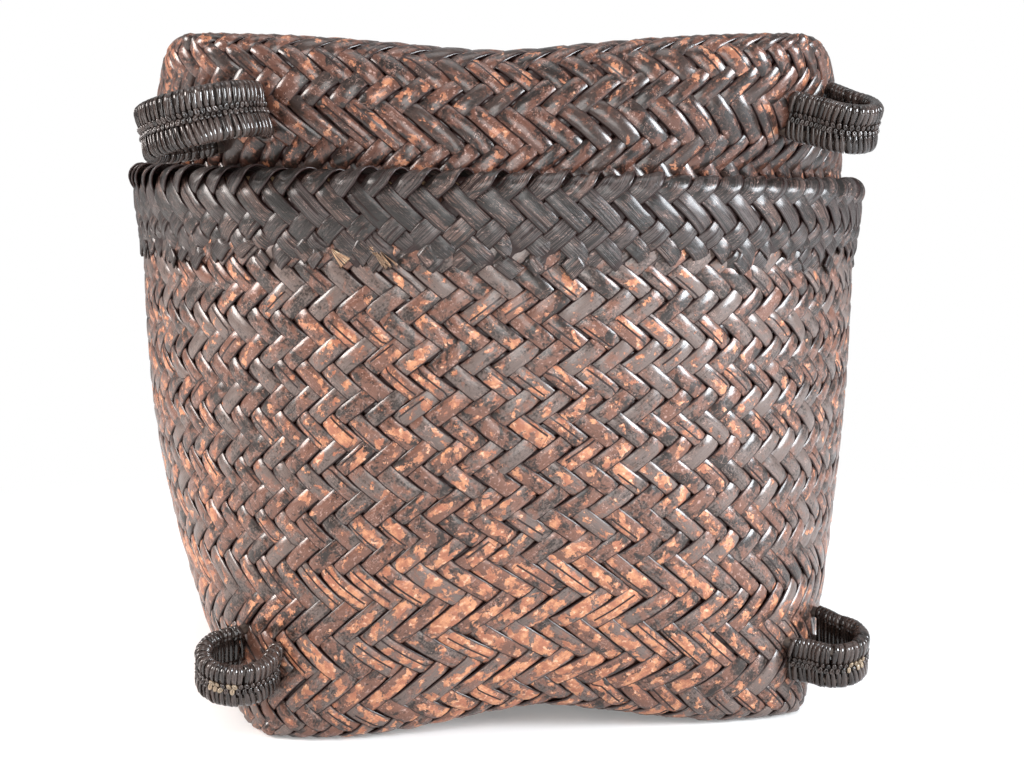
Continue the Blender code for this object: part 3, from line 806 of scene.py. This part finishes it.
# a torn float with pale splinters and a broken chip, left of the middle in front
rimBreaks = [dict(rimStubs, copies=8, number=-8.15, spread=0.17, start=0.0305, play=0.0012,
                  length=(0.0050, 0.0078), width=(0.09, 0.17), lift=0.0012, slant=0.14,
                  dive=0.0012, rise=0.0009, taper=0.5, wear=1.2),
             dict(rimStubs, copies=1, number=-9.55, spread=0.0, start=0.0310, play=0.0,
                  length=(0.0052, 0.0053), width=(0.80, 0.82), lift=0.0013, slant=0.0,
                  dive=0.0004, rise=-0.0012, taper=0.9, wear=1.2)]
lidFold = {"count": 88, "pitch": 0.0056, "start": 0.0, "outer": 0.1572, "inner": 0.1511,
           "crest": 0.2064, "side": -1, "lowOuter": 0.1572, "from": -0.0078,
           "to": (0.0165, 0.0185), "samples": 36, "thickness": 0.0007, "lift": 0.00045,
           "crown": 0.00030, "fill": 0.96, "curl": 0.0005, "dive": 0.0008,
           "turn": lidForm["turn"],
           "bands": [(-4, -2, False), (-2, 0, True), (0, 2, False), (2, 4, True), (4, 9, False)]}
folding = {"taperFrom": 0.012, "taperRun": 0.024, "turnStep": 0.002, "wayStep": 0.0004,
           "levels": (-3, 9), "splitShare": 0.3, "splitSpread": 8.0, "heightPlay": 0.2,
           "slant": 0.25, "stubSlant": 0.5, "slantPlay": 0.3, "widthPlay": 0.05,
           "narrower": 0.035, "edgePlay": 0.04, "sway": 0.03, "pace": 400, "waves": (-20, 80),
           "curlAt": 0.003, "curlRun": 0.0065, "curlLean": 0.6, "fallingCurl": -0.00022,
           "rootShare": 0.35, "stubCrown": 0.6, "diveFrom": 0.86, "diveRun": 0.14,
           "wear": 0.03, "wearPlay": 0.10, "lowWear": 6.0, "lowFrom": 0.020, "lowRun": 0.02,
           "shift": (0.41, 0.017)}


def foldPoint(form, angle, way):
    # way is the distance over the fold: 0 on the crest, positive along the longer leg
    half = (form["outer"] - form["inner"]) / 2
    middle = (form["outer"] + form["inner"]) / 2
    quarter = half * np.pi / 2
    turn = np.clip(way, -quarter, quarter) / half
    past = np.maximum(np.abs(way) - quarter, 0.0)
    taper = smooth((way - folding["taperFrom"]) / folding["taperRun"])
    radius = (middle + form["side"] * half * np.sin(turn)
              - (form["outer"] - form["lowOuter"]) * taper)
    height = form["crest"] - form["side"] * (half - half * np.cos(turn) + past)
    return roundPoints(radius, angle, height)


def foldFrame(form, place, way):
    angle = -np.pi / 2 + place * 2 * np.pi / form["count"]
    step, slide = folding["turnStep"], folding["wayStep"]
    point = foldPoint(form, angle, way)
    along = (foldPoint(form, angle + step, way) - foldPoint(form, angle - step, way)) / (2 * step)
    down = (foldPoint(form, angle, way + slide) - foldPoint(form, angle, way - slide)) / (2 * slide)
    normal = np.cross(down, along)
    normal /= np.maximum(np.linalg.norm(normal, axis=-1, keepdims=True), 1e-12)
    return point, normal


def layFoldStrip(template, form, number, rising, chance, span, stub):
    # Over the fold and down its longer leg, or a stub of a broken or tucked end
    first, last = span
    levels = np.arange(*folding["levels"])
    signs = np.array([overAt(float(level), form["bands"]) for level in levels])
    signs = -signs if rising else signs
    floatNumber = floatNumbers(signs)
    floats = floatNumber.max() + 2
    tones = chance.random(floats)[floatNumber]
    splits = chance.random(floats)
    splits = np.where(splits < folding["splitShare"],
                      folding["splitSpread"] * splits + plait["splitFrom"],
                      plait["unsplit"])[floatNumber]
    heights = signs * (1 + folding["heightPlay"] * (chance.random(len(signs)) - 0.5))

    flat = meshPlaces(template.data)
    slant = (folding["stubSlant" if stub else "slant"] * (last - first)
             * chance.uniform(-folding["slantPlay"], folding["slantPlay"]) * flat[:, 1])
    way = first + (last - first) * flat[:, 0] + slant
    lean = (way - form["start"]) / (2 * form["pitch"])
    spacing = 2 * np.pi * form["outer"] / form["count"]
    ratio = spacing ** 2 / (4 * form["pitch"] ** 2)
    width = form["fill"] * (1 + folding["widthPlay"] * chance.standard_normal())
    width = width - folding["narrower"] * (not rising)
    if stub:
        width = chance.uniform(*stub["width"]) * (1 - stub["taper"] * (1 - flat[:, 0]))
        lean = lean + stub["slant"] * chance.standard_normal() * (flat[:, 0] - 0.5)
    uneven = unevenEdges(way * folding["pace"], flat[:, 1], folding["waves"], chance)
    across = (flat[:, 1] * (width + folding["edgePlay"] * uneven)
              + folding["sway"] * chance.standard_normal())
    shift = across / (1 + ratio)
    place = number - lean + shift if rising else number + lean + shift
    slide = 2 * ratio * shift * form["pitch"]
    way = way + slide if rising else way - slide
    point, normal = foldFrame(form, place, way)

    level = 2 * lean + (ratio - 1 if rising else 1 - ratio) * shift
    height, nearest = heightBetween(level, levels, heights)
    curl = (form["curl"] * (0.5 + chance.random())
            * np.exp(-((way - folding["curlAt"]) / folding["curlRun"]) ** 2))
    curl = curl if rising else folding["fallingCurl"] * chance.random()
    thick, bulge = form["thickness"] * flat[:, 2], crowned(flat, form["crown"])
    if stub:
        root = smooth((folding["rootShare"] - flat[:, 0]) / folding["rootShare"])
        out = (stub["lift"] + thick + bulge - stub["dive"] * root
               + stub["rise"] * flat[:, 0] ** 2)
        height = np.full_like(way, folding["stubCrown"])
    else:
        tip = smooth((flat[:, 0] - folding["diveFrom"]) / folding["diveRun"])
        out = (form["lift"] * height + thick + bulge
               + curl * (2 * flat[:, 1] + folding["curlLean"]) - form["dive"] * tip)
    points = point + normal * out[:, None]
    low = np.clip(way - folding["lowFrom"], 0.0, folding["lowRun"])
    wear = folding["wear"] + folding["wearPlay"] * chance.random() + folding["lowWear"] * low
    wear = stub["wear"] if stub and stub["wear"] else wear
    marks = {"crown": np.clip(height * 0.5 + 0.5, 0, 1), "tone": tones[nearest],
             "wear": np.where(flat[:, 2] > 0, wear, 0.0),
             "split": flat[:, 1] - plait["splitStep"] * splits[nearest]}
    return points, marks, way - form["from"]


def plaitFold(form, name, rising, seed):
    whole, short = makeFlatStrip(form["samples"]), makeFlatStrip(rimStubs["samples"])
    layings = []
    for number in range(form["count"]):
        chance = np.random.default_rng(seed + number)
        span = (form["from"], chance.uniform(*form["to"]))
        layings.append((whole, number, chance, span, None))
        if form is rimFold and chance.random() < rimStubs["share"]:
            start = chance.uniform(*rimStubs["from"])
            span = (start, start + chance.uniform(*rimStubs["length"]))
            layings.append((short, number + rimStubs["beside"], chance, span, rimStubs))
    for stub in rimBreaks if form is rimFold and not rising else []:
        for copy in range(stub["copies"]):
            chance = np.random.default_rng(seed + 500 + copy)
            number = stub["number"] + stub["spread"] * chance.uniform(-1.0, 1.0)
            start = stub["start"] + stub["play"] * chance.uniform(-1.0, 1.0)
            span = (start, start + chance.uniform(*stub["length"]))
            layings.append((short, number, chance, span, stub))
    strips = []
    perStrip, perSeed = folding["shift"]
    for source, number, chance, span, stub in layings:
        laid = layFoldStrip(source, form, number, rising, chance, span, stub)
        strips.append(finishStrip(source, *laid, perStrip * number + perSeed * seed))
    piece = joinPieces(strips, name)
    piece.data.transform(Matrix.Rotation(form["turn"], 4, "Z"))
    for source in (whole, short):
        bpy.data.objects.remove(source, do_unlink=True)
    return piece


# Ears: two cores one above the other, wrapped with split cane and knotted along the middle
ears = {
    "basketLeftEar": dict(body="basket", azimuth=-136.3, height=0.0357, ring=0.0141,
                          reach=0.0121, foot=0.0104, sweep=120.0, spacing=0.0126,
                          roll=-14.7, pitch=14.0, node="basket_left_ear", straw=(0.50, 0.64)),
    "basketRightEar": dict(body="basket", azimuth=-42.8, height=0.0310, ring=0.0127,
                           reach=0.0128, foot=0.0150, sweep=97.4, spacing=0.0142,
                           roll=14.8, pitch=8.2, node="basket_right_ear", straw=(0.36, 0.50)),
    "lidLeftEar": dict(body="lid", azimuth=-128.7, height=0.0225, ring=0.0231, reach=0.0167,
                       foot=0.0155, sweep=122.0, spacing=0.0160, roll=12.5, pitch=4.8,
                       node="lid_left_ear", straw=(0.0, 0.0)),
    "lidRightEar": dict(body="lid", azimuth=-40.1, height=0.0270, ring=0.0117, reach=0.0166,
                        foot=0.0144, sweep=99.6, spacing=0.0140, roll=8.4, pitch=16.3,
                        node="lid_right_ear", straw=(0.0, 0.0)),
}
lashing = {"pitch": 0.0021, "core": 0.0023, "caneWide": 0.00225, "caneThick": 0.0007,
           "slack": 0.00025, "backWide": 0.0019, "shingle": 0.00011, "bare": 0.0008,
           "chain": 0.0012, "narrow": 0.40, "drawnIn": 0.30, "outBelow": 0.0014,
           "shorter": 0.0001, "squareness": 0.7, "behind": 0.0003, "before": 0.0012,
           "knotHigh": 0.00092, "knotWide": 0.00050, "knotThick": 0.00056,
           "knotSkew": 0.0004, "knotOut": 0.0026, "knotUp": 0.0011, "section": 0.2,
           "steps": (16, 4), "knotSteps": (10, 5), "arcSteps": 24, "bendSteps": 8,
           "seat": 0.0003, "tail": 0.004, "look": 0.002}
# how far the turns and links of the lashing differ from each other
lashingPlay = {"along": 0.00016, "size": 0.05, "lean": (0.10, 0.05), "backLean": 0.4,
               "backTone": 0.2, "tilt": (0.30, 0.25), "knotSize": 0.1, "strawTurns": 0.25,
               "strawKnots": 0.8}


def earPath(ear):
    sweep, steps = math.radians(ear["sweep"]), lashing["arcSteps"]
    points = [Vector((ear["reach"] + ear["ring"] * math.cos(sweep * step / steps),
                      ear["ring"] * math.sin(sweep * step / steps), 0.0))
              for step in range(steps + 1)]
    start, end = points[-1], Vector((lashing["seat"], ear["foot"], 0.0))
    run = 2 * lashing["core"]
    leave = Vector((-math.sin(sweep), math.cos(sweep), 0.0)) * run
    arrive = Vector((-run, 0.0, 0.0))
    for step in range(1, lashing["bendSteps"] + 1):
        share = step / lashing["bendSteps"]
        square, cube = share ** 2, share ** 3
        points.append(start * (2 * cube - 3 * square + 1) + leave * (cube - 2 * square + share)
                      + end * (3 * square - 2 * cube) + arrive * (cube - square))
    points.append(Vector((-lashing["tail"], ear["foot"], 0.0)))
    return [Vector((p.x, -p.y, 0.0)) for p in reversed(points[1:])] + points


def earSeat(ear):
    turn = math.radians(ear["azimuth"])
    form = basketForm if ear["body"] == "basket" else lidForm
    if ear["body"] == "basket":
        share = ear["height"] / form["top"]
        half = form["mouth"] - (form["mouth"] - form["half"]) * (1 - share) ** form["lean"]
        corner = form["corner"] ** ((1 - share) ** form["square"])
        height = ear["height"]
    else:
        share = ear["height"] / form["rise"]
        half = form["mouth"] + (form["half"] - form["mouth"]) * share ** form["lean"]
        corner = form["corner"] ** (share ** form["square"])
        height = form["rim"] + ear["height"]
    radius = float(sectionRadius(half, corner, turn))
    seat = Matrix.Translation((radius * math.cos(turn), radius * math.sin(turn), height))
    seat @= Matrix.Rotation(turn, 4, "Z") @ Matrix.Rotation(math.radians(ear["pitch"]), 4, "Y")
    seat @= Matrix.Rotation(math.radians(ear["roll"]), 4, "X")
    return Matrix.Rotation(form["turn"], 4, "Z") @ seat


def alongPath(points, distance):
    for first, second in zip(points, points[1:]):
        length = (second - first).length
        if distance <= length or second is points[-1]:
            return first.lerp(second, distance / length)
        distance -= length


def makeRing(steps, sides):
    # One turn of split cane with its axis along X: round it 1, across and through it 1
    bpy.ops.object.select_all(action="DESELECT")
    bpy.ops.mesh.primitive_torus_add(major_segments=steps, minor_segments=sides,
                                     major_radius=1.0, minor_radius=lashing["section"],
                                     rotation=(0.0, math.pi / 2, 0.0))
    ring = bpy.context.object
    bpy.ops.object.transform_apply(location=False, rotation=True, scale=False)
    ring.data.uv_layers[0].name = "strip"
    return ring


def ringPlaces(places):
    # Round the ring, and across and through its section
    swirl = np.arctan2(places[:, 1], places[:, 2])
    through = (np.hypot(places[:, 1], places[:, 2]) - 1.0) / lashing["section"]
    return swirl, places[:, 0] / lashing["section"], through


def ribbonPlaces(places):
    # The same for a flat ribbon made of the ring's four-sided section
    swirl, across, through = ringPlaces(places)
    return swirl, across - through, across + through


def wrapPlaces(places, high, side, size, lean):
    # A turn of cane from the chain over one core and back, wide on the core and narrow below
    swirl, across, through = ribbonPlaces(places)
    over = lashing["core"] + lashing["caneThick"] / 2 + lashing["slack"]
    down = np.maximum(-np.cos(swirl), 0.0)
    reach = np.where(np.cos(swirl) > 0, over, high - lashing["chain"])
    radial = through * lashing["caneThick"] / 2 + across * lashing["shingle"]
    z = (high + (reach + radial) * np.cos(swirl)) * side
    y = ((over * size + radial) * np.sin(swirl) * (1 - lashing["drawnIn"] * down)
         + lashing["outBelow"] * down)
    x = across * lashing["caneWide"] / 2 * size * (1 - lashing["narrow"] * down)
    return x + lean * (np.abs(z) - lashing["chain"]), y, z


def backPlaces(places, high, lean):
    # A turn of cane round both cores: it closes the band behind the chain
    swirl, across, through = ribbonPlaces(places)
    radial = through * lashing["caneThick"] / 2
    tall = high + lashing["core"] - lashing["shorter"]
    z = (np.sign(np.cos(swirl)) * tall * np.abs(np.cos(swirl)) ** lashing["squareness"]
         + radial * np.cos(swirl))
    deep = np.where(np.sin(swirl) < 0, lashing["core"] + lashing["behind"], lashing["before"])
    x = across * lashing["backWide"] / 2
    return x + lean * z, deep * np.sin(swirl) + radial * np.sin(swirl), z


def knotPlaces(places, side, tilt, size):
    # One link of the chain: the upper row tilts one way and the lower row the other
    swirl, across, through = ringPlaces(places)
    through = through * lashing["knotThick"]
    z = np.cos(swirl) * (lashing["knotHigh"] * size + through)
    x = np.sin(swirl) * (lashing["knotWide"] * size + through)
    y = across * lashing["knotThick"] + lashing["knotSkew"] * np.cos(swirl) * side
    x, z = (x * math.cos(tilt) - z * math.sin(tilt), x * math.sin(tilt) + z * math.cos(tilt))
    return x, y + lashing["knotOut"], z + side * lashing["knotUp"]


def placeAlong(source, spot, places, tone, straw):
    # A copy of source with its x along the path, y out and z up at a spot of the loop
    point, along, out = spot
    x, y, z = places
    points = (np.array(point) + np.outer(x, along) + np.outer(y, out)
              + np.outer(z, (0.0, 0.0, 1.0)))
    copy = copyOf(source)
    movePlaces(copy.data, points)
    for name, value in (("tone", tone), ("straw", straw)):
        paintPoints(copy.data, name, np.full(len(points), value))
    return copy


def lashEar(name, ear, ring, link, seed):
    chance, play = np.random.default_rng(seed), lashingPlay
    path, high, look = earPath(ear), ear["spacing"] / 2, lashing["look"]
    total = sum((b - a).length for a, b in zip(path, path[1:]))
    first = lashing["tail"] + lashing["bare"]
    count = round((total - 2 * first) / lashing["pitch"])
    turnPoints, linkPoints = meshPlaces(ring.data), meshPlaces(link.data)
    wraps, links = [], []
    for number in range(count + 1):
        for side in (1, -1):
            share = number / count
            distance = first + (total - 2 * first) * share
            point = alongPath(path, distance + play["along"] * chance.standard_normal())
            along = (alongPath(path, min(distance + look, total))
                     - alongPath(path, max(distance - look, 0.0))).normalized()
            out = Vector((along.y, -along.x, 0.0))
            straw = float(ear["straw"][0] < share < ear["straw"][1])
            size = 1 + play["size"] * chance.standard_normal()
            tone = chance.random()
            pale = (side < 0) * (chance.random() < play["strawTurns"])
            lean = play["lean"][0] + play["lean"][1] * chance.standard_normal()
            places = wrapPlaces(turnPoints, high, side, size, lean)
            wraps.append(placeAlong(ring, (point, along, out), places, tone, straw * pale))
            if side > 0:
                places = backPlaces(turnPoints, high, play["backLean"] * lean)
                tone = play["backTone"] * chance.random()
                wraps.append(placeAlong(ring, (point, along, out), places, tone, 0.0))
            if 0 < number < count:
                middle = alongPath(path, distance + side * lashing["pitch"] / 4)
                tilt = side * (play["tilt"][0] + play["tilt"][1] * chance.standard_normal())
                tone = chance.random()
                pale = chance.random() < play["strawKnots"]
                size = 1 + play["knotSize"] * chance.standard_normal()
                places = knotPlaces(linkPoints, side, tilt, size)
                links.append(placeAlong(link, (middle, along, out), places, tone, straw * pale))
    pieces = [joinPieces(wraps, name + "Lashing"), joinPieces(links, name + "Knots")]
    for piece in pieces:
        piece.data.transform(earSeat(ear))
    return pieces


rimHoopRing = {"radius": 0.1638, "thick": 0.0015, "height": 0.2297, "around": 128, "sides": 12}
rimTilt = {"lift": 0.0035, "from": 0.10, "to": 0.2336, "radius": 0.168}


def tiltRim(pieces):
    # The rim stands a little higher on the left and lower on the right
    for piece in pieces:
        places = meshPlaces(piece.data)
        share = smooth((places[:, 2] - rimTilt["from"]) / (rimTilt["to"] - rimTilt["from"]))
        places[:, 2] -= rimTilt["lift"] * places[:, 0] / rimTilt["radius"] * share
        movePlaces(piece.data, places)
        piece.data.update()


makeCamera(camera)
makeStudio(studio)
print("camera and studio made")

lacquer = makeLacquer("lacquer", lacquerLook)
basketPieces = plaitShell(basketShell)
tiltedPieces = list(basketPieces)
for piece in basketPieces:
    piece.data.materials.append(lacquer)
    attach(piece, "basket")
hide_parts("basket_shell")
print("basket plaited:", sum(len(piece.data.polygons) for piece in basketPieces), "faces")

lidPieces = plaitShell(lidShell)
lidLacquer = makeLacquer("lidLacquer", lidLook)
for piece in lidPieces:
    piece.data.materials.append(lidLacquer)
    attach(piece, "lid")
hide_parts("lid_shell")
print("lid plaited:", sum(len(piece.data.polygons) for piece in lidPieces), "faces")

rimStrip = makeLacquer("rimStrip", rimLook)
for form, node, body, names in ((rimFold, "rim_hem", "basket", ("rimFloats", "rimFolds")),
                                (lidFold, "lid_hem", "lid", ("lidEdgeFloats", "lidEdgeFolds"))):
    foldPieces = [plaitFold(form, names[0], False, 7000), plaitFold(form, names[1], True, 7200)]
    for piece in foldPieces:
        piece.data.materials.append(rimStrip)
        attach(piece, body)
    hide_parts(node)
    if body == "basket":
        tiltedPieces += foldPieces
    print(names[0], "and", names[1], "plaited")

cane = makeCane("splitCane", caneLook)
ring, link = makeRing(*lashing["steps"]), makeRing(*lashing["knotSteps"])
for number, (name, ear) in enumerate(ears.items()):
    lashed, knotted = lashEar(name, ear, ring, link, 8000 + number)
    for piece, slot, node in ((lashed, "ear_lashing", ear["node"] + "_lashing"),
                              (knotted, "ear_knots", ear["node"] + "_knots")):
        piece.data.materials.append(cane)
        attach(piece, ear["body"])
        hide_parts(node)
for source in (ring, link):
    bpy.data.objects.remove(source, do_unlink=True)
print("ears lashed")

rod = makeRod("caneRod", rodLook)
hoopCane = makeRod("hoopCane", hoopLook)
bpy.ops.object.select_all(action="DESELECT")
bpy.ops.mesh.primitive_torus_add(
    major_segments=rimHoopRing["around"], minor_segments=rimHoopRing["sides"],
    major_radius=rimHoopRing["radius"], minor_radius=rimHoopRing["thick"])
rimHoop = bpy.context.object
rimHoop.name = rimHoop.data.name = "rimHoopCane"
rimHoop.data.transform(Matrix.Translation((0.0, 0.0, rimHoopRing["height"])))
rimHoop.data.materials.append(hoopCane)
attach(rimHoop, "basket")
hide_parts("rim_hoop")
tiltRim(tiltedPieces + [rimHoop])

for node, obj in cadNodes.items():
    if node.endswith(("_core_upper", "_core_lower")):
        obj.material_slots[0].material = rod
    if node.endswith("_hoop"):
        obj.material_slots[0].material = hoopCane
print("finishes given")
